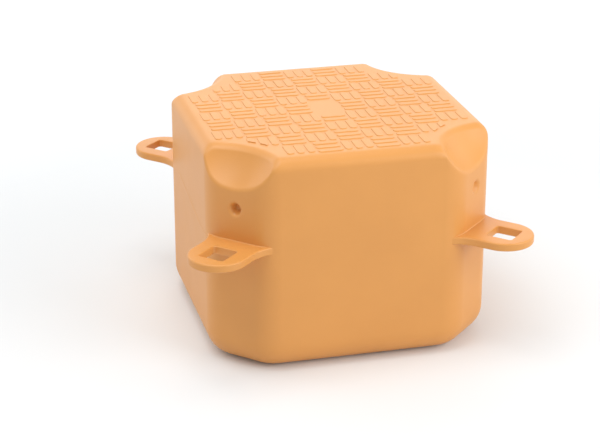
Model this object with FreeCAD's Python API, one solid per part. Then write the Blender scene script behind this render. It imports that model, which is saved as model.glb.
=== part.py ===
import FreeCAD, Part
import math
import os

# Floating dock cube: one sealed blow moulding with four coupling lugs.
# Sizes are in millimetres. The origin is the centre of the underside, +Z is up,
# the front faces -Y, and the lugs point along the diagonals of the plan.

# Float
BODY_WIDTH = 500.0              # across opposite sides, both ways
BODY_HEIGHT = 384.0             # underside to the flat of the deck
CORNER_LEG = 82.0               # taken off each side by a 45 degree corner face
UPRIGHT_RADIUS = 65.0           # upright rounds between the sides and the corner faces
DECK_EDGE_RADIUS = 22.0
UNDER_EDGE_RADIUS = 48.0

# Scoops that open the deck corners above the lugs
SCOOP_RADIUS = 126.0
SCOOP_BEYOND_FACE = 70.4        # centre of the sphere, outwards from the corner face
SCOOP_SHIFT = 10.0              # centre of the sphere beside the diagonal, clockwise from above
SCOOP_RISE = 46.0               # centre of the sphere above the flat of the deck
SCOOP_RIM_RADIUS = 10.0         # rim that rolls over from a scoop to the deck
SCOOP_RIM_FACETS = 2

# Coupling lugs
NEIGHBOUR_GAP = 0.0             # between the sides of coupled floats; sets the pitch of the holes
LUG_THICKNESS = 14.2
LUG_GAP = 0.4                   # between lugs stacked at one coupling
LOWEST_LUG_TOP = 218.2
LUG_HALF_WIDTH = 51.0           # also the radius of the tip about the hole
LUG_EDGE_CHAMFER = 2.0
LUG_FLARE_RADIUS = 70.0         # in plan, where the lug widens to the body
LUG_FLARE_BITE = 2.5            # how far the flare's circle cuts into the upright round
HOLE_SIDE = 47.0
HOLE_CORNER_CUT = 2.5           # 45 degree cut in each corner of the hole
HOLE_EDGE_CHAMFER = 1.2

# Dimple in each corner face
DIMPLE_LEVEL = 291.5
DIMPLE_MOUTH_RADIUS = 12.5
DIMPLE_CORE_RADIUS = 6.0
DIMPLE_SLOPE_DEPTH = 5.0
DIMPLE_DEPTH = 7.5

# Tread of the deck: square tiles of three raised bars that turn from tile to tile
TILES_ACROSS = 9
TILE_SIZE = 50.0
TREAD_MARGIN_TILES = 2          # tiles left out at both ends of the outermost rows
BARS_PER_TILE = 3
BAR_WIDTH = 12.0
BAR_LENGTH = 42.5
BAR_PITCH = 18.2
BAR_HEIGHT = 1.5
BAR_END_FACETS = 3              # straight facets that round each end of a bar
BAR_ROOT = 1.0                  # how far a bar reaches into the deck that carries it
TREAD_CLEAR_BEYOND_FACE = 31.4  # centre of the bare deck round each scoop
TREAD_CLEAR_RADIUS = 104.0

# Lug levels from the lowest up, by the quarter turns from the back right corner
LUG_ORDER = (3, 2, 1, 0)
QUARTERS = 4
EIGHTH_TURN = 45.0
QUARTER_TURN = 90.0
ROOT_TWO = math.sqrt(2.0)
SAME_PLACE = 1e-3

UP = FreeCAD.Vector(0.0, 0.0, 1.0)
CENTRE = FreeCAD.Vector(0.0, 0.0, 0.0)


def turned(shape, quarter):
    """A shape drawn along +X, turned to the diagonal of one corner."""
    copy = shape.copy()
    copy.rotate(CENTRE, UP, EIGHTH_TURN + QUARTER_TURN * quarter)
    return copy


def rounded_outline(corners, radius):
    """Closed outline through the corners, each rounded by an arc that is tangent to both sides."""
    rounds = []
    for index, corner in enumerate(corners):
        back = (corners[index - 1] - corner).normalize()
        ahead = (corners[(index + 1) % len(corners)] - corner).normalize()
        half_angle = back.getAngle(ahead) / 2.0
        inward = (back + ahead).normalize()
        run = radius / math.tan(half_angle)
        middle = corner + inward * (radius / math.sin(half_angle) - radius)
        rounds.append((corner + back * run, middle, corner + ahead * run))
    edges = []
    for index, (start, middle, end) in enumerate(rounds):
        edges.append(Part.Arc(start, middle, end).toShape())
        edges.append(Part.LineSegment(end, rounds[(index + 1) % len(rounds)][0]).toShape())
    return Part.Wire(edges)


def level_edges(solid, level):
    """Edges that lie wholly in one level plane."""
    return [edge for edge in solid.Edges
            if max(abs(vertex.Z - level) for vertex in edge.Vertexes) < SAME_PLACE
            and abs(edge.BoundBox.ZLength) < SAME_PLACE]


def corner_out():
    """Distance of a corner face from the body's axis."""
    return (BODY_WIDTH - CORNER_LEG) / ROOT_TWO


def lug_hole_out():
    """Distance of a lug's hole from the body's axis; the holes of coupled floats coincide."""
    return (BODY_WIDTH + NEIGHBOUR_GAP) / ROOT_TWO


def plan_corners():
    """The eight corners of the plan."""
    side = BODY_WIDTH / 2.0
    end = side - CORNER_LEG
    corners = []
    for quarter in range(QUARTERS):
        turn = FreeCAD.Rotation(UP, QUARTER_TURN * quarter)
        corners.append(turn.multVec(FreeCAD.Vector(side, -end, 0.0)))
        corners.append(turn.multVec(FreeCAD.Vector(side, end, 0.0)))
    return corners


def at_corner(place, quarter):
    """A place given for the +X direction, turned to the diagonal of one corner."""
    return FreeCAD.Rotation(UP, EIGHTH_TURN + QUARTER_TURN * quarter).multVec(place)


def scoop_centre(quarter):
    out = corner_out() + SCOOP_BEYOND_FACE
    return at_corner(FreeCAD.Vector(out, -SCOOP_SHIFT, BODY_HEIGHT + SCOOP_RISE), quarter)


def scoop(quarter):
    """Cutter for one scoop: a sphere whose wall opens out towards the flat of the deck."""
    reach = SCOOP_RADIUS + SCOOP_RIM_RADIUS
    rim_depth = SCOOP_RISE + SCOOP_RIM_RADIUS
    rim_out = math.sqrt(reach ** 2 - rim_depth ** 2)
    share = SCOOP_RADIUS / reach
    meet = FreeCAD.Vector(rim_out * share, 0.0, -rim_depth * share)
    rim_centre = FreeCAD.Vector(rim_out, 0.0, -rim_depth)
    roll = math.acos(rim_out / reach)
    points = []
    for facet in range(1, SCOOP_RIM_FACETS + 1):
        angle = roll + (math.pi / 2.0 - roll) * facet / SCOOP_RIM_FACETS
        outward = FreeCAD.Vector(-math.cos(angle), 0.0, math.sin(angle))
        points.append(rim_centre + outward * SCOOP_RIM_RADIUS)
    bottom = FreeCAD.Vector(0.0, 0.0, -SCOOP_RADIUS)
    bowl_middle = (meet + bottom).normalize() * SCOOP_RADIUS
    top = points[-1] + UP * SCOOP_RIM_RADIUS
    lines = Part.makePolygon([meet] + points + [top, CENTRE, bottom])
    profile = Part.Wire([Part.Arc(bottom, bowl_middle, meet).toShape()] + lines.Edges)
    cutter = Part.Face(profile).revolve(CENTRE, UP, 360.0)
    cutter.translate(scoop_centre(quarter))
    return cutter


def dimple():
    """Countersunk dimple on the +X side."""
    face = corner_out()
    slope_end = face - DIMPLE_SLOPE_DEPTH
    bottom = face - DIMPLE_DEPTH
    mouth = DIMPLE_MOUTH_RADIUS
    profile = Part.makePolygon([
        FreeCAD.Vector(face + mouth, 0.0, 0.0), FreeCAD.Vector(face + mouth, 0.0, mouth),
        FreeCAD.Vector(face, 0.0, mouth), FreeCAD.Vector(slope_end, 0.0, DIMPLE_CORE_RADIUS),
        FreeCAD.Vector(bottom, 0.0, DIMPLE_CORE_RADIUS), FreeCAD.Vector(bottom, 0.0, 0.0),
        FreeCAD.Vector(face + mouth, 0.0, 0.0)])
    solid = Part.Face(profile).revolve(CENTRE, FreeCAD.Vector(1.0, 0.0, 0.0), 360.0)
    solid.translate(FreeCAD.Vector(0.0, 0.0, DIMPLE_LEVEL))
    return solid


def float_form():
    """The float without its lugs and its tread."""
    outline = Part.Face(rounded_outline(plan_corners(), UPRIGHT_RADIUS))
    solid = outline.extrude(FreeCAD.Vector(0.0, 0.0, BODY_HEIGHT))
    solid = solid.makeFillet(UNDER_EDGE_RADIUS, level_edges(solid, 0.0))
    solid = solid.makeFillet(DECK_EDGE_RADIUS, level_edges(solid, BODY_HEIGHT))
    solid = solid.cut([scoop(quarter) for quarter in range(QUARTERS)]).Solids[0]
    return solid.cut([turned(dimple(), quarter) for quarter in range(QUARTERS)]).Solids[0]


def lug_outline():
    """Plan of one lug along +X: a round tip, straight sides and flares that enter the body."""
    hole_out = lug_hole_out()
    half_face = CORNER_LEG / ROOT_TWO
    round_out = corner_out() - UPRIGHT_RADIUS
    round_side = half_face - UPRIGHT_RADIUS * math.tan(math.radians(EIGHTH_TURN / 2.0))
    flare_side = LUG_HALF_WIDTH + LUG_FLARE_RADIUS
    centres_apart = UPRIGHT_RADIUS + LUG_FLARE_RADIUS - LUG_FLARE_BITE
    lean = math.asin((flare_side - round_side) / centres_apart)
    flare_out = round_out + centres_apart * math.cos(lean)

    def flare_point(angle, side):
        return FreeCAD.Vector(flare_out - LUG_FLARE_RADIUS * math.cos(angle),
                              side * (flare_side - LUG_FLARE_RADIUS * math.sin(angle)), 0.0)

    middle_lean = (lean + math.radians(QUARTER_TURN)) / 2.0
    edges = []
    for side in (-1.0, 1.0):
        end = flare_point(lean, side)
        middle = flare_point(middle_lean, side)
        start = FreeCAD.Vector(flare_out, side * LUG_HALF_WIDTH, 0.0)
        shoulder = FreeCAD.Vector(hole_out, side * LUG_HALF_WIDTH, 0.0)
        inner = FreeCAD.Vector(round_out, end.y, 0.0)
        edges += [Part.LineSegment(inner, end).toShape(), Part.Arc(end, middle, start).toShape(),
                  Part.LineSegment(start, shoulder).toShape()]
    tip = FreeCAD.Vector(hole_out + LUG_HALF_WIDTH, 0.0, 0.0)
    edges.append(Part.Arc(FreeCAD.Vector(hole_out, -LUG_HALF_WIDTH, 0.0), tip,
                          FreeCAD.Vector(hole_out, LUG_HALF_WIDTH, 0.0)).toShape())
    inner_side = flare_point(lean, 1.0).y
    edges.append(Part.LineSegment(FreeCAD.Vector(round_out, -inner_side, 0.0),
                                  FreeCAD.Vector(round_out, inner_side, 0.0)).toShape())
    return Part.Wire(Part.__sortEdges__(edges)), flare_out - LUG_FLARE_RADIUS


def square_corners(half, end):
    """Corners of a square whose four corners are cut, from the lower right round."""
    right = [(half, -end), (half, end)]
    top = [(end, half), (-end, half)]
    return right + top + [(-x, -y) for x, y in right + top]


def lug():
    """One lug along +X with its underside at zero, and its square hole."""
    outline, flare_start = lug_outline()
    plate = Part.Face(outline).extrude(FreeCAD.Vector(0.0, 0.0, LUG_THICKNESS))
    outer = [edge for level in (0.0, LUG_THICKNESS) for edge in level_edges(plate, level)
             if edge.CenterOfMass.x > flare_start]
    plate = plate.makeChamfer(LUG_EDGE_CHAMFER, outer)
    half = HOLE_SIDE / 2.0
    hole_out = lug_hole_out()
    corners = [FreeCAD.Vector(hole_out + x, y, 0.0)
               for x, y in square_corners(half, half - HOLE_CORNER_CUT)]
    hole = Part.Face(Part.makePolygon(corners + corners[:1])).extrude(UP * LUG_THICKNESS)
    plate = plate.cut(hole).Solids[0]
    reach = HOLE_SIDE / ROOT_TWO
    mouth = [edge for level in (0.0, LUG_THICKNESS) for edge in level_edges(plate, level)
             if abs(edge.CenterOfMass.x - hole_out) < reach and abs(edge.CenterOfMass.y) < reach
             and edge.BoundBox.DiagonalLength < HOLE_SIDE]
    return plate.makeChamfer(HOLE_EDGE_CHAMFER, mouth)


def lug_top(step):
    return LOWEST_LUG_TOP + step * (LUG_THICKNESS + LUG_GAP)


def bar(x, y, along_x):
    """One raised tread bar with round ends."""
    reach = (BAR_LENGTH - BAR_WIDTH) / 2.0
    half = BAR_WIDTH / 2.0
    points = []
    for end_turn in (0.0, math.pi):
        for facet in range(BAR_END_FACETS + 1):
            angle = end_turn + math.pi * (facet / BAR_END_FACETS - 0.5)
            points.append(FreeCAD.Vector(reach * math.cos(end_turn) + half * math.cos(angle),
                                         half * math.sin(angle), BODY_HEIGHT - BAR_ROOT))
    outline = Part.makePolygon(points + points[:1])
    solid = Part.Face(outline).extrude(UP * (BAR_ROOT + BAR_HEIGHT))
    if not along_x:
        solid.rotate(CENTRE, UP, QUARTER_TURN)
    solid.translate(FreeCAD.Vector(x, y, 0.0))
    return solid


def has_tread(row, column):
    """Whether a tile carries bars: not the middle one, nor the ends of the outermost rows."""
    last = TILES_ACROSS - 1
    if row == column == last // 2:
        return False
    inner = range(TREAD_MARGIN_TILES, TILES_ACROSS - TREAD_MARGIN_TILES)
    if row in (0, last):
        return column in inner
    return column not in (0, last) or row in inner


def tread_bars():
    """All the bars of the deck, cut back round the scoops."""
    foot = FreeCAD.Vector(corner_out() + TREAD_CLEAR_BEYOND_FACE, 0.0, BODY_HEIGHT - BAR_ROOT)
    feet = [at_corner(foot, quarter) for quarter in range(QUARTERS)]
    clear = [(centre, Part.makeCylinder(TREAD_CLEAR_RADIUS, BAR_ROOT + 2.0 * BAR_HEIGHT, centre))
             for centre in feet]
    bars = []
    for row in range(TILES_ACROSS):
        for column in range(TILES_ACROSS):
            if not has_tread(row, column):
                continue
            x = (column - (TILES_ACROSS - 1) / 2.0) * TILE_SIZE
            y = (row - (TILES_ACROSS - 1) / 2.0) * TILE_SIZE
            along_x = (row + column) % 2 == 1
            for number in range(BARS_PER_TILE):
                shift = (number - (BARS_PER_TILE - 1) / 2.0) * BAR_PITCH
                place = (x, y + shift) if along_x else (x + shift, y)
                solid = bar(*place, along_x)
                near = [cylinder for centre, cylinder in clear
                        if math.dist(place, (centre.x, centre.y)) < TREAD_CLEAR_RADIUS + BAR_LENGTH]
                bars.append(solid.cut(near) if near else solid)
    return bars


def dock_cube():
    solid = float_form()
    for step, quarter in enumerate(LUG_ORDER):
        placed = turned(lug(), quarter)
        placed.translate(UP * (lug_top(step) - LUG_THICKNESS))
        solid = solid.fuse(placed)
    return solid.fuse(tread_bars()).Solids[0]


if __name__ == "__main__":
    os.makedirs("parts", exist_ok=True)
    cube = dock_cube()
    cube.exportStep("parts/dock_cube.step")
    print("dock_cube", cube.isValid(), "litres", round(cube.Volume / 1e6, 2))
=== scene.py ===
# %% [markdown]
# # A floating dock cube
#
# The object is one hollow block of blow-moulded plastic, half a metre wide.
# Its deck carries a tread of raised bars, a scoop opens each corner of the deck,
# and four flat lugs with square holes stand out below the scoops. This lesson
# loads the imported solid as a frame, builds a finer skin of the same form, gives
# it a satin plastic finish and lights it like a product photograph: a pale floor
# and broad soft lamps, the strongest at the front right.

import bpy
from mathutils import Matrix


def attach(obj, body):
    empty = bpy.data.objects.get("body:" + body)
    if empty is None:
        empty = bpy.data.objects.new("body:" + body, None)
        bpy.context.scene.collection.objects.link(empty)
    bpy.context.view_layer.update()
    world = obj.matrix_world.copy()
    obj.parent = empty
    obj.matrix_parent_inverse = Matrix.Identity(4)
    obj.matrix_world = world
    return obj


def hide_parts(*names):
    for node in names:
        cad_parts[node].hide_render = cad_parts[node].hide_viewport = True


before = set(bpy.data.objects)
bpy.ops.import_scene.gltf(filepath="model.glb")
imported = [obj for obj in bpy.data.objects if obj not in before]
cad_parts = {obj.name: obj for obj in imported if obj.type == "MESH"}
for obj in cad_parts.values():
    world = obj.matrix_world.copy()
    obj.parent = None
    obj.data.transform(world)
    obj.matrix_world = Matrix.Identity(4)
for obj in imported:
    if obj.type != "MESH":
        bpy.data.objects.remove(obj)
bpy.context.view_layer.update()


# %% Blender's own modules
import math

import bmesh
import bpy
import numpy as np
from mathutils import Vector
from mathutils.geometry import tessellate_polygon

scene = bpy.context.scene
scene.view_settings.view_transform = "Standard"
print("Blender", bpy.app.version_string, "view transform", scene.view_settings.view_transform)

# %% [markdown]
# ## The camera
#
# The photograph was taken from a little left of the front and well above the
# deck, with a long lens, so the upright edges hardly lean together. The place
# and the lens below were found by laying the edges of the solid over the
# photograph until they matched. Angles are in degrees, lengths of the lens and
# the sensor in millimetres.

# %% Camera
CAMERA_PLACE = (-0.8042, -2.9621, 1.4174)
CAMERA_TILT = 67.73
CAMERA_TURN = -14.34
CAMERA_LENS = 109.65
SENSOR_WIDTH = 36.0

camera_data = bpy.data.cameras.new("camera")
camera_data.sensor_width = SENSOR_WIDTH
camera_data.lens = CAMERA_LENS
camera = bpy.data.objects.new("camera", camera_data)
camera.location = CAMERA_PLACE
camera.rotation_euler = (math.radians(CAMERA_TILT), 0.0, math.radians(CAMERA_TURN))
scene.collection.objects.link(camera)
scene.camera = camera
print("camera", CAMERA_LENS, "mm lens, tilted", CAMERA_TILT, "degrees")

# %% [markdown]
# ## Small helpers for node materials
#
# A material in Blender is a graph of nodes. Short helpers keep the graphs
# readable: one adds a node and sets its plain values, one adds a node that maps
# a range of values to another, and one starts a node group, which is a part of a
# graph with its own named inputs and outputs that several materials can share.
# The last one tells apart how a surface is looked at: straight on or in a
# reflection, where the picture needs it white, or only as a source of light.

# %% Node helpers
def add_node(tree, kind, name, **values):
    """Adds a node, names it, and sets its properties or the defaults of its inputs."""
    node = tree.nodes.new(kind)
    node.name = node.label = name
    for key, value in values.items():
        if key in node.inputs:
            node.inputs[key].default_value = value
        elif hasattr(node, key):
            setattr(node, key, value)
        else:
            raise KeyError(f"{name} has no {key}")
    return node


def add_range(tree, name, low, high, at_low, at_high):
    """Adds a node that maps values from low to high onto at_low to at_high."""
    node = add_node(tree, "ShaderNodeMapRange", name)
    labels = ("From Min", "From Max", "To Min", "To Max")
    for label, value in zip(labels, (low, high, at_low, at_high)):
        node.inputs[label].default_value = value
    return node


def start_group(name, inputs, outputs):
    """Makes a shader node group with named inputs and outputs."""
    group = bpy.data.node_groups.new(name, "ShaderNodeTree")
    for label, kind, default in inputs:
        socket = group.interface.new_socket(label, in_out="INPUT", socket_type=kind)
        if default is not None:
            socket.default_value = default
    for label, kind in outputs:
        group.interface.new_socket(label, in_out="OUTPUT", socket_type=kind)
    entry = add_node(group, "NodeGroupInput", "inputs")
    leave = add_node(group, "NodeGroupOutput", "outputs")
    return group, entry, leave


def seen_directly(tree):
    """A socket that is 1 for camera, glossy and transmission rays and 0 for the rest."""
    path = add_node(tree, "ShaderNodeLightPath", "who looks")
    seen = add_node(tree, "ShaderNodeMath", "camera or glossy", operation="MAXIMUM")
    passed = add_node(tree, "ShaderNodeMath", "or transmission", operation="MAXIMUM")
    tree.links.new(path.outputs["Is Camera Ray"], seen.inputs[0])
    tree.links.new(path.outputs["Is Glossy Ray"], seen.inputs[1])
    tree.links.new(seen.outputs[0], passed.inputs[0])
    tree.links.new(path.outputs["Is Transmission Ray"], passed.inputs[1])
    return passed.outputs[0]


print("node helpers ready")

# %% [markdown]
# ## The skin of moulded plastic
#
# Polyethylene that is blown against a sand-blasted mould keeps a fine, soft
# grain, like orange peel at a scale of a millimetre or two, and the wall swells
# by a few tenths of a millimetre between stiffer places. One group makes that
# height from three sizes of noise, so a material only has to feed it to a Bump
# node. Object coordinates are in metres, which is why the scales are large.

# %% Group: moulded grain
FINE_SHARE = 0.12
PEEL_SHARE = 0.35
SWELL_SHARE = 1.6


def build_moulded_grain():
    """One height from three sizes of noise."""
    group, entry, leave = start_group(
        "moulded_grain",
        [("Vector", "NodeSocketVector", None), ("Fine Size", "NodeSocketFloat", 900.0),
         ("Peel Size", "NodeSocketFloat", 330.0), ("Swell Size", "NodeSocketFloat", 9.0)],
        [("Height", "NodeSocketFloat")])
    link = group.links.new
    fine = add_node(group, "ShaderNodeTexNoise", "fine grain", Detail=2.0, Roughness=0.6)
    peel = add_node(group, "ShaderNodeTexNoise", "orange peel", Detail=2.0, Roughness=0.5)
    swell = add_node(group, "ShaderNodeTexNoise", "wall swell", Detail=1.0, Roughness=0.4)
    for noise, size in ((fine, "Fine Size"), (peel, "Peel Size"), (swell, "Swell Size")):
        link(entry.outputs["Vector"], noise.inputs["Vector"])
        link(entry.outputs[size], noise.inputs["Scale"])
    fine_part = add_node(group, "ShaderNodeMath", "fine share", operation="MULTIPLY")
    fine_part.inputs[1].default_value = FINE_SHARE
    link(fine.outputs["Fac"], fine_part.inputs[0])
    peel_part = add_node(group, "ShaderNodeMath", "peel share", operation="MULTIPLY_ADD")
    peel_part.inputs[1].default_value = PEEL_SHARE
    link(peel.outputs["Fac"], peel_part.inputs[0])
    link(fine_part.outputs[0], peel_part.inputs[2])
    swell_part = add_node(group, "ShaderNodeMath", "swell share", operation="MULTIPLY_ADD")
    swell_part.inputs[1].default_value = SWELL_SHARE
    link(swell.outputs["Fac"], swell_part.inputs[0])
    link(peel_part.outputs[0], swell_part.inputs[2])
    link(swell_part.outputs[0], leave.inputs["Height"])
    return group


moulded_grain = build_moulded_grain()
print("group", moulded_grain.name, "with", len(moulded_grain.nodes), "nodes")

# %% [markdown]
# ## Colour that is never quite even
#
# The pigment in the melt streaks and clouds a little, and the gloss differs
# where the sheet touched the mould first. The second group mixes two close
# shades by a slow noise and gives a roughness that wanders by a few hundredths.

# %% Group: clouded pigment
# A Mix node has sockets for every kind of data. These are its colour sockets.
MIX_FACTOR, MIX_FIRST, MIX_SECOND = 0, 6, 7
MIX_RESULT = 2
CLOUD_FROM = 0.35
CLOUD_TO = 0.65
NOISE_MIDDLE = 0.5


def build_clouded_pigment():
    """Two close shades mixed by slow clouds, and a roughness that drifts."""
    group, entry, leave = start_group(
        "clouded_pigment",
        [("Vector", "NodeSocketVector", None),
         ("Shade", "NodeSocketColor", (0.8, 0.4, 0.1, 1.0)),
         ("Deeper Shade", "NodeSocketColor", (0.75, 0.35, 0.09, 1.0)),
         ("Roughness", "NodeSocketFloat", 0.4),
         ("Roughness Change", "NodeSocketFloat", 0.06)],
        [("Color", "NodeSocketColor"), ("Roughness", "NodeSocketFloat")])
    link = group.links.new
    cloud = add_node(group, "ShaderNodeTexNoise", "slow clouds",
                     Scale=7.0, Detail=4.0, Roughness=0.55)
    streak = add_node(group, "ShaderNodeTexNoise", "gloss drift",
                      Scale=16.0, Detail=3.0, Roughness=0.6)
    link(entry.outputs["Vector"], cloud.inputs["Vector"])
    link(entry.outputs["Vector"], streak.inputs["Vector"])
    spread = add_range(group, "cloud range", CLOUD_FROM, CLOUD_TO, 0.0, 1.0)
    link(cloud.outputs["Fac"], spread.inputs["Value"])
    shade = add_node(group, "ShaderNodeMix", "two shades", data_type="RGBA")
    link(spread.outputs["Result"], shade.inputs[MIX_FACTOR])
    link(entry.outputs["Shade"], shade.inputs[MIX_FIRST])
    link(entry.outputs["Deeper Shade"], shade.inputs[MIX_SECOND])
    link(shade.outputs[MIX_RESULT], leave.inputs["Color"])
    centred = add_node(group, "ShaderNodeMath", "centred drift", operation="SUBTRACT")
    centred.inputs[1].default_value = NOISE_MIDDLE
    link(streak.outputs["Fac"], centred.inputs[0])
    drift = add_node(group, "ShaderNodeMath", "gloss change", operation="MULTIPLY_ADD")
    link(centred.outputs[0], drift.inputs[0])
    link(entry.outputs["Roughness Change"], drift.inputs[1])
    link(entry.outputs["Roughness"], drift.inputs[2])
    link(drift.outputs[0], leave.inputs["Roughness"])
    return group


clouded_pigment = build_clouded_pigment()
print("group", clouded_pigment.name, "with", len(clouded_pigment.nodes), "nodes")

# %% [markdown]
# ## The orange float plastic
#
# A warm, light orange with a satin surface. The Principled shader carries it:
# the pigment group feeds colour and roughness, and the grain group feeds the
# bump. A low roughness would look wet and a high one chalky, so it sits between.

# %% Material: float plastic
FLOAT_SHADE = (0.707, 0.313, 0.0765, 1.0)
FLOAT_DEEPER_SHADE = (0.679, 0.298, 0.0720, 1.0)
FLOAT_ROUGHNESS = 0.42
FLOAT_IOR = 1.5
GRAIN_DEPTH = 0.00045
GRAIN_STRENGTH = 0.6


def build_float_plastic():
    """Satin orange plastic with clouded pigment and a moulded grain."""
    material = bpy.data.materials.new("float_plastic")
    material.use_nodes = True
    tree = material.node_tree
    tree.nodes.clear()
    place = add_node(tree, "ShaderNodeTexCoord", "place on the float")
    pigment = add_node(tree, "ShaderNodeGroup", "pigment", node_tree=clouded_pigment)
    pigment.inputs["Shade"].default_value = FLOAT_SHADE
    pigment.inputs["Deeper Shade"].default_value = FLOAT_DEEPER_SHADE
    pigment.inputs["Roughness"].default_value = FLOAT_ROUGHNESS
    grain = add_node(tree, "ShaderNodeGroup", "grain", node_tree=moulded_grain)
    bump = add_node(tree, "ShaderNodeBump", "grain bump",
                    Strength=GRAIN_STRENGTH, Distance=GRAIN_DEPTH)
    shader = add_node(tree, "ShaderNodeBsdfPrincipled", "satin plastic", IOR=FLOAT_IOR)
    out = add_node(tree, "ShaderNodeOutputMaterial", "surface")
    link = tree.links.new
    link(place.outputs["Object"], pigment.inputs["Vector"])
    link(place.outputs["Object"], grain.inputs["Vector"])
    link(pigment.outputs["Color"], shader.inputs["Base Color"])
    link(pigment.outputs["Roughness"], shader.inputs["Roughness"])
    link(grain.outputs["Height"], bump.inputs["Height"])
    link(bump.outputs["Normal"], shader.inputs["Normal"])
    link(shader.outputs["BSDF"], out.inputs["Surface"])
    return material


float_plastic = build_float_plastic()
print("float plastic with", len(float_plastic.node_tree.nodes), "nodes")

# %% [markdown]
# ## The shape of the float
#
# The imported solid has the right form, but its soft rims are facetted to keep it
# light. So this lesson builds a finer skin of the same form and puts it in the
# solid's place. Everything is driven by the sizes below, in metres, and by one
# idea: an upright line of the skin stands at a foot point of the plan and can
# be moved in or out along a fixed direction, because all the offset curves of a
# rounded octagon share the same arc centres.

# %% Driving sizes of the float
BODY_HALF = 0.250
BODY_HEIGHT = 0.384
CORNER_LEG = 0.082
UPRIGHT_RADIUS = 0.065
DECK_EDGE_RADIUS = 0.022
UNDER_EDGE_RADIUS = 0.048
CORNERS = 4
EIGHTH_TURN = math.pi / 4.0
QUARTER_TURN = math.pi / 2.0
ROOT_TWO = math.sqrt(2.0)
CORE_HALF = BODY_HALF - UPRIGHT_RADIUS
CORE_END = BODY_HALF - CORNER_LEG - UPRIGHT_RADIUS * math.tan(EIGHTH_TURN / 2.0)
CORNER_OUT = (2.0 * BODY_HALF - CORNER_LEG) / ROOT_TWO


def corner_angle(quarter):
    """The direction of one corner of the float, counted counter-clockwise."""
    return EIGHTH_TURN + QUARTER_TURN * quarter


print("corner faces stand", round(CORNER_OUT, 4), "m out from the axis")

# %% Upright lines of the plan
SIDE_SHARES = (0.0, 0.2, 0.38, 0.54, 0.68, 0.8, 0.89, 0.95)
ROUND_STEPS = 18
FACE_STEPS = 42
FACE_CROWDING = 0.6


def plan_lines():
    """Foot points and directions of the upright lines, counter-clockwise from +X."""
    feet, ways = [], []
    for share in SIDE_SHARES:
        feet.append((CORE_HALF, share * CORE_END))
        ways.append((1.0, 0.0))
    for step in range(ROUND_STEPS):
        angle = EIGHTH_TURN * step / ROUND_STEPS
        feet.append((CORE_HALF, CORE_END))
        ways.append((math.cos(angle), math.sin(angle)))
    for step in range(FACE_STEPS + 1):
        even = 2.0 * step / FACE_STEPS - 1.0
        share = 0.5 + 0.5 * even * (1.0 - FACE_CROWDING + FACE_CROWDING * even * even)
        feet.append((CORE_HALF + (CORE_END - CORE_HALF) * share,
                     CORE_END + (CORE_HALF - CORE_END) * share))
        ways.append((math.cos(EIGHTH_TURN), math.sin(EIGHTH_TURN)))
    for step in range(1, ROUND_STEPS + 1):
        angle = EIGHTH_TURN * (1.0 + step / ROUND_STEPS)
        feet.append((CORE_END, CORE_HALF))
        ways.append((math.cos(angle), math.sin(angle)))
    for share in reversed(SIDE_SHARES[1:]):
        feet.append((share * CORE_END, CORE_HALF))
        ways.append((0.0, 1.0))
    quarter_feet, quarter_ways = np.array(feet), np.array(ways)
    turn = np.array([[0.0, 1.0], [-1.0, 0.0]])
    all_feet, all_ways = [], []
    for _ in range(CORNERS):
        all_feet.append(quarter_feet)
        all_ways.append(quarter_ways)
        quarter_feet, quarter_ways = quarter_feet @ turn, quarter_ways @ turn
    return np.concatenate(all_feet), np.concatenate(all_ways)


FEET, WAYS = plan_lines()


def at_level(outline, level):
    """The points of a flat outline, lifted to one height."""
    return np.column_stack([outline, np.full(len(outline), level)])


def plan_ring(inset, level):
    """The closed outline of the plan, moved inwards by the inset, at one height."""
    return at_level(FEET + (UPRIGHT_RADIUS - inset) * WAYS, level)


print(len(FEET), "upright lines round the float")

# %% [markdown]
# ## From rings to a closed body
#
# A stack of rings makes a closed skin: quads between neighbours and one flat
# face at each end. The same helper serves for the body, the tread bars and the
# fillets, so it is worth writing once. The rings lie close together where the
# form curves and far apart on the flat walls.

# %% Helper: skin through rings
def quads_between(low_start, high_start, size):
    """Faces between two rings, told by the numbers of their first corners."""
    faces = []
    for here in range(size):
        after = (here + 1) % size
        faces.append((low_start + here, low_start + after, high_start + after, high_start + here))
    return faces


def loft(rings, wrap=False):
    """Corners and faces of a closed skin through rings of equal length."""
    rings = np.asarray(rings, dtype=float)
    count, size = rings.shape[:2]
    faces = []
    for row in range(count if wrap else count - 1):
        faces += quads_between(row * size, ((row + 1) % count) * size, size)
    if not wrap:
        faces.append(tuple(reversed(range(size))))
        faces.append(tuple(range((count - 1) * size, count * size)))
    return rings.reshape(-1, 3), faces


def mesh_object(name, parts):
    """One mesh object from several closed skins, with its normals turned outwards."""
    points, faces = [], []
    for part_points, part_faces in parts:
        start = len(points)
        points += [tuple(point) for point in part_points]
        faces += [tuple(start + index for index in face) for face in part_faces]
    mesh = bpy.data.meshes.new(name)
    mesh.from_pydata(points, [], faces)
    shape = bmesh.new()
    shape.from_mesh(mesh)
    bmesh.ops.recalc_face_normals(shape, faces=shape.faces)
    shape.to_mesh(mesh)
    shape.free()
    item = bpy.data.objects.new(name, mesh)
    scene.collection.objects.link(item)
    return item


print("helpers for closed skins ready")

# %% Rings of the body
UNDER_STEPS = 12
DECK_EDGE_STEPS = 12
DECK_FLAT_STEPS = 18
DECK_FLAT_END = 0.062
DIMPLE_BAND = (0.272, 0.311)
LOW_WALL_STEPS = 18
DIMPLE_BAND_STEPS = 24
HIGH_WALL_STEPS = 22
WALL_LEVELS = np.concatenate([
    np.linspace(UNDER_EDGE_RADIUS, DIMPLE_BAND[0], LOW_WALL_STEPS + 1)[1:-1],
    np.linspace(DIMPLE_BAND[0], DIMPLE_BAND[1], DIMPLE_BAND_STEPS + 1)[:-1],
    np.linspace(DIMPLE_BAND[1], BODY_HEIGHT - DECK_EDGE_RADIUS, HIGH_WALL_STEPS + 1)[:-1]])


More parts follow.
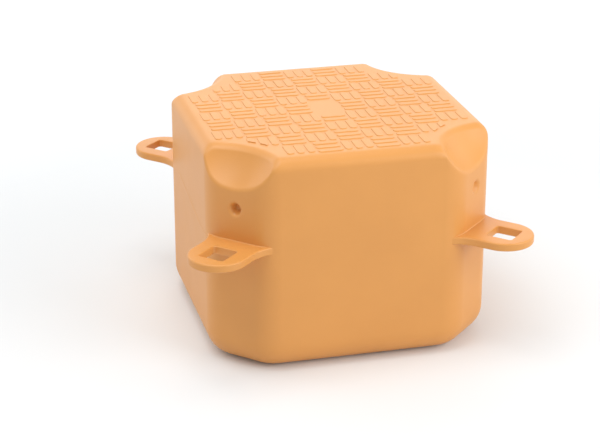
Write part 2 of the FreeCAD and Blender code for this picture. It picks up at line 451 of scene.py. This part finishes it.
def body_rings():
    """Rings from the flat of the underside to the flat of the deck."""
    rings = []
    for step in range(UNDER_STEPS + 1):
        angle = QUARTER_TURN * step / UNDER_STEPS
        rings.append(plan_ring(UNDER_EDGE_RADIUS * (1.0 - math.sin(angle)),
                               UNDER_EDGE_RADIUS * (1.0 - math.cos(angle))))
    for level in WALL_LEVELS:
        rings.append(plan_ring(0.0, level))
    for step in range(DECK_EDGE_STEPS + 1):
        angle = QUARTER_TURN * step / DECK_EDGE_STEPS
        rings.append(plan_ring(DECK_EDGE_RADIUS * (1.0 - math.cos(angle)),
                               BODY_HEIGHT - DECK_EDGE_RADIUS * (1.0 - math.sin(angle))))
    for step in range(1, DECK_FLAT_STEPS + 1):
        inset = DECK_EDGE_RADIUS + (DECK_FLAT_END - DECK_EDGE_RADIUS) * step / DECK_FLAT_STEPS
        rings.append(plan_ring(inset, BODY_HEIGHT))
    return np.array(rings)


rings = body_rings()
print("body of", rings.shape[0], "rings with", rings.shape[1], "corners each")

# %% [markdown]
# ## Scoops with rolled rims
#
# Each deck corner is opened by a scoop shaped like part of a ball. Cutting a
# ball away leaves a hard rim, and a bevel on such a rim often breaks. Instead
# the form is written as a distance: how far a point lies outside the float, and
# how far inside the ball. Joining the two by a quarter circle gives a rim of any
# radius, and every corner of the skin is then walked onto the surface where the
# distance is nought. The rim rolls widely at the deck and tightens further down.
# A ball may stand a little beside the diagonal of its corner, as the photograph
# shows: the shifts below are clockwise from above, in the order back right, back
# left, front left, front right.

# %% Distance to the carved body
SCOOP_RADIUS = 0.126
SCOOP_BEYOND_FACE = 0.0704
SCOOP_OUT = CORNER_OUT + SCOOP_BEYOND_FACE
SCOOP_SHIFTS = (0.004, 0.000, 0.010, 0.010)
SCOOP_RISE = 0.046
RIM_WIDE = 0.0105
RIM_TIGHT = 0.0038
RIM_TIGHT_LEVEL = 0.364
RIM_WIDE_LEVEL = 0.382


def smooth_share(values, start, end):
    """A share that grows softly from 0 at the start to 1 at the end."""
    share = np.clip((values - start) / (end - start), 0.0, 1.0)
    return share * share * (3.0 - 2.0 * share)


def body_distance(points):
    """Signed distance to the float without scoops; it holds above the round at the foot."""
    plan = np.abs(points[:, :2])
    across, along = plan.max(axis=1) - CORE_HALF, plan.min(axis=1) - CORE_END
    slanted = (across + along) / ROOT_TWO
    sideways = (along - across) / ROOT_TWO
    beside = np.where(sideways >= 0.0, slanted, np.hypot(across, along))
    outside = np.where(along <= 0.0, across, beside)
    inside = np.maximum(across, slanted)
    plan_distance = np.where(inside <= 0.0, inside, outside) - UPRIGHT_RADIUS
    deep = plan_distance + DECK_EDGE_RADIUS
    high = points[:, 2] - (BODY_HEIGHT - DECK_EDGE_RADIUS)
    round_part = np.hypot(np.maximum(deep, 0.0), np.maximum(high, 0.0))
    return np.minimum(np.maximum(deep, high), 0.0) + round_part - DECK_EDGE_RADIUS


def scoop_distance(points):
    """How deep each point lies inside the nearest of the four scoop balls."""
    nearest = np.full(len(points), np.inf)
    for quarter, shift in enumerate(SCOOP_SHIFTS):
        angle = corner_angle(quarter)
        centre = np.array([SCOOP_OUT * math.cos(angle) + shift * math.sin(angle),
                           SCOOP_OUT * math.sin(angle) - shift * math.cos(angle),
                           BODY_HEIGHT + SCOOP_RISE])
        nearest = np.minimum(nearest, np.linalg.norm(points - centre, axis=1))
    return SCOOP_RADIUS - nearest


def carved_distance(points):
    """Signed distance to the float with its four scoops and their rolled rims."""
    scoop = scoop_distance(points)
    body = body_distance(points)
    widened = smooth_share(points[:, 2], RIM_TIGHT_LEVEL, RIM_WIDE_LEVEL)
    rim = RIM_TIGHT + (RIM_WIDE - RIM_TIGHT) * widened
    corner = np.hypot(np.maximum(body + rim, 0.0), np.maximum(scoop + rim, 0.0))
    return np.minimum(np.maximum(body, scoop), -rim) + corner


print(len(SCOOP_SHIFTS), "scoops cut by balls of", SCOOP_RADIUS, "m")

# %% Walk the rings onto the carved surface
CARVE_FLOOR = 0.305
WALK_STEPS = 14
PROBE = 1e-5
LEAST_SLOPE = 0.25
MILLIMETRES_IN_METRE = 1000.0


def walk_to_surface(points):
    """Moves points along the slope of the distance until they lie on the surface."""
    for _ in range(WALK_STEPS):
        slope = np.column_stack([
            (carved_distance(points + step) - carved_distance(points - step)) / (2.0 * PROBE)
            for step in np.eye(3) * PROBE])
        away = carved_distance(points) / np.maximum((slope ** 2).sum(axis=1), LEAST_SLOPE)
        points = points - slope * away[:, None]
    return points


flat = rings.reshape(-1, 3)
near_deck = flat[:, 2] > CARVE_FLOOR
flat[near_deck] = walk_to_surface(flat[near_deck])
moved = np.abs(carved_distance(flat[near_deck])).max()
print("largest distance from the carved surface:",
      float(round(moved * MILLIMETRES_IN_METRE, 5)), "mm")

# %% [markdown]
# ## Dimples
#
# A round dimple sits in every corner face, midway between the scoop and the lug:
# a shallow dish with a deeper core, except at the front right, where the core is
# nearly filled. The rings are dense there, so the corners inside a small circle
# are simply pushed in, with a soft lip at each step. They sit a few millimetres
# off the middle of the faces, towards the left and right sides of the float.

# %% Push in the dimples
DIMPLE_LEVEL = 0.2900
DIMPLE_SHIFT = 0.0030
DISH_FLOOR_RADIUS = 0.0075
DISH_MOUTH_RADIUS = 0.0145
DISH_DEPTH = 0.0030
CORE_FLOOR_RADIUS = 0.0045
CORE_MOUTH_RADIUS = 0.0105
CORE_DEPTH = 0.0105
FRONT_RIGHT_CORE_DEPTH = 0.0030
ON_FACE = 1e-4

outward = np.abs(flat[:, :2]).sum(axis=1) / ROOT_TWO
sideways = (np.abs(flat[:, 0]) - np.abs(flat[:, 1])) / ROOT_TWO - DIMPLE_SHIFT
front_right = (flat[:, 0] > 0.0) & (flat[:, 1] < 0.0)
core_depth = np.where(front_right, FRONT_RIGHT_CORE_DEPTH, CORE_DEPTH)
from_middle = np.hypot(sideways, flat[:, 2] - DIMPLE_LEVEL)
in_dish = 1.0 - smooth_share(from_middle, DISH_FLOOR_RADIUS, DISH_MOUTH_RADIUS)
in_core = 1.0 - smooth_share(from_middle, CORE_FLOOR_RADIUS, CORE_MOUTH_RADIUS)
pushed = DISH_DEPTH * in_dish + core_depth * in_core
pushed[outward < CORNER_OUT - ON_FACE] = 0.0
flat[:, :2] -= np.sign(flat[:, :2]) * pushed[:, None] / ROOT_TWO
body_skin = mesh_object("float_body_skin", [loft(rings)])
print("dimples move", int((pushed > 0).sum()), "corners of the body")
print("the body has", len(body_skin.data.polygons), "faces")

# %% [markdown]
# ## Tread bars
#
# The deck is a chequer of tiles with three raised bars each, turned by a quarter
# from tile to tile, with a bare tile in the middle. One bar is a low loft with
# rounded ends: its walls lean a little, as they must to leave the mould, and its
# top edge is eased. Two hundred copies are placed by a loop, and bars beside a
# scoop are cut back along a circle. The bare patch in the middle is deeper than
# its tile, so the nearest bar in front of it and behind it is left out.

# %% Sizes and outline of the tread
TILES_ACROSS = 9
TILE_SIZE = 0.050
TREAD_MARGIN_TILES = 2
BARS_PER_TILE = 3
BAR_WIDTH = 0.0120
BAR_LENGTH = 0.0425
BAR_PITCH = 0.0182
BAR_HEIGHT = 0.0015
BAR_CORNER_RADIUS = 0.0052
BAR_CORNER_STEPS = 4
BAR_SECTION = (
    (0.0008, -0.0010), (0.0004, 0.0), (-0.0001, 0.0007),
    (-0.0004, 0.0012), (-0.0011, BAR_HEIGHT))


def rounded_rectangle(length, width, radius, steps, grow=0.0):
    """A counter-clockwise rectangle with round corners, grown outwards on every side."""
    points = []
    for corner in range(CORNERS):
        middle_x = (length / 2.0 - radius) * (1.0 if corner in (0, 3) else -1.0)
        middle_y = (width / 2.0 - radius) * (1.0 if corner in (0, 1) else -1.0)
        for step in range(steps + 1):
            angle = QUARTER_TURN * (corner + step / steps)
            points.append((middle_x + (radius + grow) * math.cos(angle),
                           middle_y + (radius + grow) * math.sin(angle)))
    return np.array(points)


def has_tread(row, column):
    """Whether a tile carries bars: not the middle one, nor the ends of the outermost rows."""
    last = TILES_ACROSS - 1
    if row == column == last // 2:
        return False
    inner = range(TREAD_MARGIN_TILES, TILES_ACROSS - TREAD_MARGIN_TILES)
    if row in (0, last):
        return column in inner
    return column not in (0, last) or row in inner


def beside_bare_patch(row, column, number):
    """Whether a bar borders the bare middle in front or behind; the patch takes its place."""
    middle = TILES_ACROSS // 2
    nearest = 0 if row > middle else BARS_PER_TILE - 1
    return column == middle and abs(row - middle) == 1 and number == nearest


print("tiles with bars:", sum(has_tread(row, column) for row in range(TILES_ACROSS)
                              for column in range(TILES_ACROSS)))

# %% Place the bars
def one_bar(place, along_x):
    """The closed skin of one bar, along X or along Y."""
    rows = []
    for grow, rise in BAR_SECTION:
        outline = rounded_rectangle(BAR_LENGTH, BAR_WIDTH, BAR_CORNER_RADIUS,
                                    BAR_CORNER_STEPS, grow)
        if not along_x:
            outline = outline[:, ::-1] * np.array([-1.0, 1.0])
        rows.append(at_level(outline + place, BODY_HEIGHT + rise))
    return loft(rows)


def tread_bars():
    """The skins of all bars, tile by tile."""
    bars = []
    middle_tile = (TILES_ACROSS - 1) / 2.0
    for row in range(TILES_ACROSS):
        for column in range(TILES_ACROSS):
            if not has_tread(row, column):
                continue
            middle = np.array([column - middle_tile, row - middle_tile]) * TILE_SIZE
            along_x = (row + column) % 2 == 1
            for number in range(BARS_PER_TILE):
                if beside_bare_patch(row, column, number):
                    continue
                shift = (number - (BARS_PER_TILE - 1) / 2.0) * BAR_PITCH
                place = middle + np.array([0.0, shift] if along_x else [shift, 0.0])
                bars.append(one_bar(place, along_x))
    return bars


bars_skin = mesh_object("tread_bars_skin", tread_bars())
print(len(bars_skin.data.polygons), "faces in the bars")

# %% Cylinders that clear the tread round the scoops
TREAD_CLEAR_BEYOND_FACE = 0.0314
TREAD_CLEAR_OUT = CORNER_OUT + TREAD_CLEAR_BEYOND_FACE
TREAD_CLEAR_RADIUS = 0.104
CLEAR_HALF_HEIGHT = 0.004
CLEAR_STEPS = 72


def clearing(quarter):
    """A low cylinder at one corner, which cuts back the bars that it meets."""
    angle = corner_angle(quarter)
    middle = TREAD_CLEAR_OUT * np.array([math.cos(angle), math.sin(angle)])
    turns = np.linspace(0.0, 2.0 * math.pi, CLEAR_STEPS, endpoint=False)
    circle = middle + TREAD_CLEAR_RADIUS * np.column_stack([np.cos(turns), np.sin(turns)])
    return loft([at_level(circle, BODY_HEIGHT - CLEAR_HALF_HEIGHT),
                 at_level(circle, BODY_HEIGHT + CLEAR_HALF_HEIGHT)])


clearing_skin = mesh_object("tread_clearing", [clearing(quarter) for quarter in range(CORNERS)])
print(CORNERS, "clearing cylinders")

# %% [markdown]
# ## Coupling lugs
#
# Four flat lugs leave the corner faces, each a little higher than the last: front
# right, front left, back left, back right. So the lugs of four floats stack on
# one pin. A lug is a plate with a round tip, a square hole and wide flares at its
# root. Its outline and its hole are lists of points, and the rounded edges are
# the same lists moved a little at every level. Blender's polygon tessellation
# fills the flat between both.

# %% Lug sizes and outline
LUG_PITCH = 0.500
LUG_THICKNESS = 0.0142
LUG_GAP = 0.0004
LOWEST_LUG_TOP = 0.2182
LUG_HALF_WIDTH = 0.051
LUG_EDGE_RADIUS = 0.0030
LUG_FLARE_RADIUS = 0.070
LUG_FLARE_BITE = 0.0025
LUG_ORDER = (3, 2, 1, 0)
HOLE_SIDE = 0.047
HOLE_CORNER_RADIUS = 0.004
HOLE_CORNER_STEPS = 5
HOLE_EDGE_RADIUS = 0.0018
HOLE_OUT = LUG_PITCH / ROOT_TWO
ROUND_OUT = CORNER_OUT - UPRIGHT_RADIUS
ROUND_SIDE = (CORE_HALF - CORE_END) / ROOT_TWO
TIP_STEPS = 40
FLARE_STEPS = 16


def lug_outline():
    """Plan of a lug along +X, counter-clockwise, with its root inside the body."""
    flare_side = LUG_HALF_WIDTH + LUG_FLARE_RADIUS
    apart = UPRIGHT_RADIUS + LUG_FLARE_RADIUS - LUG_FLARE_BITE
    lean = math.asin((flare_side - ROUND_SIDE) / apart)
    flare_out = ROUND_OUT + apart * math.cos(lean)
    right = [(HOLE_OUT + LUG_HALF_WIDTH * math.cos(angle), LUG_HALF_WIDTH * math.sin(angle))
             for angle in np.linspace(0.0, QUARTER_TURN, TIP_STEPS // 2 + 1)]
    for angle in np.linspace(QUARTER_TURN, lean, FLARE_STEPS + 1):
        right.append((flare_out - LUG_FLARE_RADIUS * math.cos(angle),
                      flare_side - LUG_FLARE_RADIUS * math.sin(angle)))
    right.append((ROUND_OUT, right[-1][1]))
    left = [(out, -side) for out, side in reversed(right[1:])]
    return np.array(right + left)


def hole_outline():
    """The square hole of a lug, with rounded corners, counter-clockwise."""
    square = rounded_rectangle(HOLE_SIDE, HOLE_SIDE, HOLE_CORNER_RADIUS, HOLE_CORNER_STEPS)
    return square + np.array([HOLE_OUT, 0.0])


print("lug outline of", len(lug_outline()), "points, hole of", len(hole_outline()))

# %% Plates with rounded edges
EDGE_STEPS = 4


def outward_ways(outline):
    """Unit directions that point out of a counter-clockwise outline, one at each point."""
    ahead = np.roll(outline, -1, axis=0) - outline
    ahead /= np.linalg.norm(ahead, axis=1)[:, None]
    both = ahead + np.roll(ahead, 1, axis=0)
    both /= np.linalg.norm(both, axis=1)[:, None]
    return np.column_stack([both[:, 1], -both[:, 0]])


def edge_rows(outline, radius, side):
    """The wall of a plate from its top down, rounded at both edges; side is -1 for a hole."""
    ways = outward_ways(outline)
    steps = range(EDGE_STEPS + 1)
    rows = []
    for top, step in [(True, step) for step in steps] + [(False, step) for step in reversed(steps)]:
        angle = QUARTER_TURN * step / EDGE_STEPS
        moved = outline - side * ways * radius * (1.0 - math.sin(angle))
        drop = radius * (1.0 - math.cos(angle))
        rows.append(at_level(moved, LUG_THICKNESS - drop if top else drop))
    return rows


print("each wall of a lug has", 2 * (EDGE_STEPS + 1), "rows")

# %% One lug
def lug_plate():
    """Corners and faces of one lug along +X with its underside at zero."""
    points, faces, caps = [], [], []
    walls = ((lug_outline(), LUG_EDGE_RADIUS, 1.0), (hole_outline(), HOLE_EDGE_RADIUS, -1.0))
    for outline, radius, side in walls:
        rows = edge_rows(outline, radius, side)
        size, start = len(outline), sum(len(part) for part in points)
        for row in range(len(rows) - 1):
            faces += quads_between(start + (row + 1) * size, start + row * size, size)
        under = start + (len(rows) - 1) * size
        caps.append((range(start, start + size), range(under, under + size)))
        points += rows
    points = np.concatenate(points)
    for loops in zip(*caps):
        order = [index for loop in loops for index in loop]
        corners = [[Vector(points[index]) for index in loop] for loop in loops]
        faces += [tuple(order[index] for index in face) for face in tessellate_polygon(corners)]
    return points, faces


plate_points, plate_faces = lug_plate()
print("one lug has", len(plate_points), "corners and", len(plate_faces), "faces")

# %% Four lugs, stepped
def turned_to_corner(points, quarter):
    """Points drawn along +X, turned to one corner of the float."""
    angle = corner_angle(quarter)
    turn = np.array([[math.cos(angle), math.sin(angle), 0.0],
                     [-math.sin(angle), math.cos(angle), 0.0],
                     [0.0, 0.0, 1.0]])
    return np.asarray(points) @ turn


def lug_top(step):
    """The level of a lug's top; each step up is one plate and a small gap."""
    return LOWEST_LUG_TOP + step * (LUG_THICKNESS + LUG_GAP)


lugs = []
for step, quarter in enumerate(LUG_ORDER):
    raised = plate_points + np.array([0.0, 0.0, lug_top(step) - LUG_THICKNESS])
    lugs.append((turned_to_corner(raised, quarter), plate_faces))
lugs_skin = mesh_object("lugs_skin", lugs)
print("lug tops at", [round(lug_top(step), 4) for step in range(CORNERS)])

# %% [markdown]
# ## Creases at the lug roots
#
# Where a lug leaves the wall, melt fills the corner and leaves a small hollow
# fillet. It is a slim rod swept along the wall, above and below the plate: its
# face is a hollow quarter circle and its back hides inside body and plate. The
# radius runs out towards the flares.

# %% Fillet rods
CREASE_RADIUS = 0.0022
CREASE_SINK = 0.0020
CREASE_OVERLAP = 0.00012
CREASE_TURN = math.radians(29.0)
CREASE_FADE = 0.014
CREASE_LEAST = 0.12
CREASE_STEPS = 6
CREASE_ROUND_STATIONS = 9
CREASE_FACE_STATIONS = 10


def on_round(angle, side):
    """A point of the upright round on one side of a lug, and its direction."""
    way = (math.cos(angle), math.sin(angle))
    return (ROUND_OUT + UPRIGHT_RADIUS * way[0], side + UPRIGHT_RADIUS * way[1]), way


def wall_stations():
    """Points and directions of the wall across one corner, in the frame of its lug."""
    before = np.linspace(-CREASE_TURN, 0.0, CREASE_ROUND_STATIONS)
    across = np.linspace(-ROUND_SIDE, ROUND_SIDE, CREASE_FACE_STATIONS)[1:-1]
    after = np.linspace(0.0, CREASE_TURN, CREASE_ROUND_STATIONS)
    stations = [on_round(angle, -ROUND_SIDE) for angle in before]
    stations += [((CORNER_OUT, side), (1.0, 0.0)) for side in across]
    stations += [on_round(angle, ROUND_SIDE) for angle in after]
    return stations


def crease_rod(level, up):
    """Closed rod along the wall at one face of a lug; up is -1 below the plate."""
    stations = wall_stations()
    places = np.array([place for place, way in stations])
    run = np.concatenate([[0.0], np.cumsum(np.linalg.norm(np.diff(places, axis=0), axis=1))])
    rows = []
    for index, (place, way) in enumerate(stations):
        to_end = min(run[index], run[-1] - run[index])
        fullness = float(smooth_share(to_end, 0.0, CREASE_FADE))
        radius = CREASE_RADIUS * (CREASE_LEAST + (1.0 - CREASE_LEAST) * fullness)
        hollow = radius + CREASE_OVERLAP
        section = [(radius - hollow * math.cos(turn), radius - hollow * math.sin(turn))
                   for turn in np.linspace(0.0, QUARTER_TURN, CREASE_STEPS + 1)]
        section += [(radius, -CREASE_SINK), (-CREASE_SINK, -CREASE_SINK), (-CREASE_SINK, radius)]
        rows.append([(place[0] + out * way[0], place[1] + out * way[1], level + up * rise)
                     for out, rise in section])
    return loft(rows)


rods = []
for step, quarter in enumerate(LUG_ORDER):
    for level, up in ((lug_top(step), 1.0), (lug_top(step) - LUG_THICKNESS, -1.0)):
        rod_points, rod_faces = crease_rod(level, up)
        rods.append((turned_to_corner(rod_points, quarter), rod_faces))
rods_skin = mesh_object("crease_rods_skin", rods)
print(len(rods), "crease rods")

# %% [markdown]
# ## The parting line
#
# The two halves of the mould meet half way up, along a line that steps with the
# lugs, and leave a hair-fine ridge. It is a flat rod that runs round the wall,
# level at each corner. Along a side it slants from the lower lug up past the
# higher one and falls back to it, and it is plainest on the left and right sides.

# %% Parting ridge
RIDGE_PLAIN = 0.00055
RIDGE_FAINT = 0.00012
RIDGE_FOOT = 0.0030
RIDGE_SINK = 0.0008
RIDGE_SHARES = (0.0, 0.17, 0.77, 1.0)
RIDGE_OVERSHOOT = 0.011


def ridge_levels():
    """Height of the parting line at each upright line of the plan."""
    middles = {quarter: lug_top(step) - LUG_THICKNESS / 2.0
               for step, quarter in enumerate(LUG_ORDER)}
    count = len(FEET) // CORNERS
    levels = []
    for index in range(len(FEET)):
        quarter, place = divmod(index, count)
        share_here = np.abs(FEET[index]).min() / CORE_END
        near = 0.5 + 0.5 * min(share_here, 1.0)
        other = (quarter - 1) % CORNERS if place < count / 2 else (quarter + 1) % CORNERS
        low, high = sorted((middles[quarter], middles[other]))
        from_low = near if middles[quarter] == high else 1.0 - near
        course = (low, low, high + RIDGE_OVERSHOOT, high)
        levels.append(float(np.interp(from_low, RIDGE_SHARES, course)))
    return levels


def parting_ridge():
    """One closed rod round the whole wall, half sunk into it."""
    rows = []
    for foot, way, level in zip(FEET, WAYS, ridge_levels()):
        wall = foot + UPRIGHT_RADIUS * way
        height = RIDGE_FAINT + (RIDGE_PLAIN - RIDGE_FAINT) * way[0] ** 2
        section = ((-RIDGE_SINK, -RIDGE_FOOT), (height, 0.0),
                   (-RIDGE_SINK, RIDGE_FOOT), (-RIDGE_FOOT, 0.0))
        rows.append([(*(wall + out * way), level + rise) for out, rise in section])
    return loft(rows, wrap=True)


ridge_skin = mesh_object("parting_ridge_skin", [parting_ridge()])
print("parting ridge with", len(ridge_skin.data.polygons), "faces")

# %% [markdown]
# ## One skin
#
# The real float is one piece, so its skin is one closed surface too. A Boolean
# modifier joins the pieces. The manifold solver is quick and exact as long as
# every piece is closed and no piece crosses itself, which is why the bars, the
# lugs and the rods were each made as separate closed lofts.

# %% Join the pieces
def join_pieces(target, tool, operation):
    """Applies one Boolean to the target mesh and deletes the tool."""
    modifier = target.modifiers.new("join", "BOOLEAN")
    modifier.operation = operation
    modifier.solver = "MANIFOLD"
    modifier.object = tool
    graph = bpy.context.evaluated_depsgraph_get()
    joined = bpy.data.meshes.new_from_object(target.evaluated_get(graph))
    target.modifiers.clear()
    old = target.data
    target.data = joined
    bpy.data.meshes.remove(old)
    tool_mesh = tool.data
    bpy.data.objects.remove(tool)
    bpy.data.meshes.remove(tool_mesh)


join_pieces(bars_skin, clearing_skin, "DIFFERENCE")
for tool in (lugs_skin, rods_skin, ridge_skin, bars_skin):
    join_pieces(body_skin, tool, "UNION")
    print("joined, faces now", len(body_skin.data.polygons))

# %% Smooth shading
SHARP_ANGLE = math.radians(38.0)
FLAT_FACES_LEAD = 60
LITRES_IN_CUBIC_METRE = 1000.0

float_skin = body_skin
float_skin.name = float_skin.data.name = "float_skin"
for polygon in float_skin.data.polygons:
    polygon.use_smooth = True
float_skin.data.set_sharp_from_angle(angle=SHARP_ANGLE)
weighted = float_skin.modifiers.new("flat faces lead", "WEIGHTED_NORMAL")
weighted.keep_sharp = True
weighted.weight = FLAT_FACES_LEAD
float_skin.data.materials.clear()
float_skin.data.materials.append(float_plastic)
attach(float_skin, "root")
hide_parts("dock_cube")
check = bmesh.new()
check.from_mesh(float_skin.data)
open_edges = sum(1 for edge in check.edges if not edge.is_manifold)
print("skin of", len(check.faces), "faces,", open_edges, "open edges, volume",
      round(check.calc_volume() * LITRES_IN_CUBIC_METRE, 2), "litres")
check.free()

# %% [markdown]
# ## Floor and background
#
# The photograph shows no horizon: a white sweep runs from under the float to
# beyond the frame. A wide plain floor does the same. It is nearly white and
# diffuse, so it takes the soft shadow. A little light of its own, seen only by
# the camera and in reflections, lifts the unshadowed floor to plain white, and
# grows with the distance, where the lamps no longer reach.

# %% Floor finish
WHITE = (1.0, 1.0, 1.0, 1.0)
FLOOR_SHADE = (0.80, 0.82, 0.83, 1.0)
FLOOR_LIFT = 0.02
FAR_LIFT = 0.55
LIFT_GROWS_FROM = 0.9
LIFT_GROWS_TO = 4.0


def build_floor_finish():
    """Pale matt paper with a little light of its own, more of it far away."""
    material = bpy.data.materials.new("studio_floor")
    material.use_nodes = True
    tree = material.node_tree
    tree.nodes.clear()
    paper = add_node(tree, "ShaderNodeBsdfDiffuse", "paper", Color=FLOOR_SHADE)
    lift = add_node(tree, "ShaderNodeEmission", "lift", Color=WHITE)
    place = add_node(tree, "ShaderNodeTexCoord", "place on the floor")
    distance = add_node(tree, "ShaderNodeVectorMath", "distance", operation="LENGTH")
    growth = add_range(tree, "lift grows", LIFT_GROWS_FROM, LIFT_GROWS_TO, FLOOR_LIFT, FAR_LIFT)
    amount = add_node(tree, "ShaderNodeMath", "lift amount", operation="MULTIPLY")
    both = add_node(tree, "ShaderNodeAddShader", "paper and lift")
    out = add_node(tree, "ShaderNodeOutputMaterial", "surface")
    link = tree.links.new
    link(place.outputs["Object"], distance.inputs[0])
    link(distance.outputs["Value"], growth.inputs["Value"])
    link(growth.outputs["Result"], amount.inputs[0])
    link(seen_directly(tree), amount.inputs[1])
    link(amount.outputs[0], lift.inputs["Strength"])
    link(paper.outputs[0], both.inputs[0])
    link(lift.outputs[0], both.inputs[1])
    link(both.outputs[0], out.inputs["Surface"])
    return material


studio_floor = build_floor_finish()
print("floor finish with", len(studio_floor.node_tree.nodes), "nodes")

# %% Floor
FLOOR_HALF = 14.0

floor_mesh = bpy.data.meshes.new("studio_floor")
floor_corners = [(-FLOOR_HALF, -FLOOR_HALF, 0.0), (FLOOR_HALF, -FLOOR_HALF, 0.0),
                 (FLOOR_HALF, FLOOR_HALF, 0.0), (-FLOOR_HALF, FLOOR_HALF, 0.0)]
floor_mesh.from_pydata(floor_corners, [], [(0, 1, 2, 3)])
floor_mesh.materials.append(studio_floor)
floor = bpy.data.objects.new("studio_floor", floor_mesh)
scene.collection.objects.link(floor)
print("floor", 2 * FLOOR_HALF, "metres wide")

# %% [markdown]
# ## Light
#
# In the photograph the deck is brightest, the front a little less, and the corner
# face at the front left lies in half shade. An even white surrounding fills the
# shade. It is modest as a source of light, so the colour of the plastic stays
# true, but seen straight on or in a reflection it is plain white: a backdrop, and
# something pale for the satin surface to mirror at grazing angles. The shape of
# the float is then drawn by broad lamps: two overhead for the deck and the left
# side, the strongest at the front right for the front, and weaker ones behind and
# at the right, which also light the floor where the float would shade it.

# %% World
SURROUND_STRENGTH = 0.56
BACKDROP_STRENGTH = 1.0

world = bpy.data.worlds.new("studio")
world.use_nodes = True
tree = world.node_tree
tree.nodes.clear()
surround = add_node(tree, "ShaderNodeBackground", "surround", Color=WHITE)
strength = add_range(tree, "light or backdrop", 0.0, 1.0, SURROUND_STRENGTH, BACKDROP_STRENGTH)
world_out = add_node(tree, "ShaderNodeOutputWorld", "world")
tree.links.new(seen_directly(tree), strength.inputs["Value"])
tree.links.new(strength.outputs["Result"], surround.inputs["Strength"])
tree.links.new(surround.outputs[0], world_out.inputs["Surface"])
scene.world = world
print("surround", SURROUND_STRENGTH, "as light and", BACKDROP_STRENGTH, "as backdrop")

# %% Lamps
# Each has a name, the direction it stands in, its distance and width in metres
# and its power in watts.
LAMP_AIM = Vector((0.0, 0.0, 0.2))
LAMPS = (
    ("overhead", (-0.1, -0.05, 1.0), 2.4, 1.2, 11.0),
    ("overhead left", (-0.4, -0.2, 0.9), 3.0, 2.0, 29.0),
    ("front right", (0.7, -0.7, 0.45), 3.2, 2.0, 45.0),
    ("back", (0.25, 1.0, 0.45), 3.5, 2.6, 19.0),
    ("back left", (-0.8, 0.8, 0.45), 3.2, 2.0, 19.0),
    ("right", (1.0, 0.0, 0.4), 3.2, 2.0, 14.0),
)


def add_area_lamp(name, direction, distance, width, power):
    """Adds a square soft lamp that faces the middle of the float."""
    data = bpy.data.lights.new(name, "AREA")
    data.shape = "SQUARE"
    data.size = width
    data.energy = power
    lamp = bpy.data.objects.new(name, data)
    lamp.location = LAMP_AIM + Vector(direction).normalized() * distance
    lamp.rotation_euler = (LAMP_AIM - lamp.location).to_track_quat("-Z", "Y").to_euler()
    scene.collection.objects.link(lamp)


for lamp_values in LAMPS:
    add_area_lamp(*lamp_values)
print(len(LAMPS), "soft lamps")
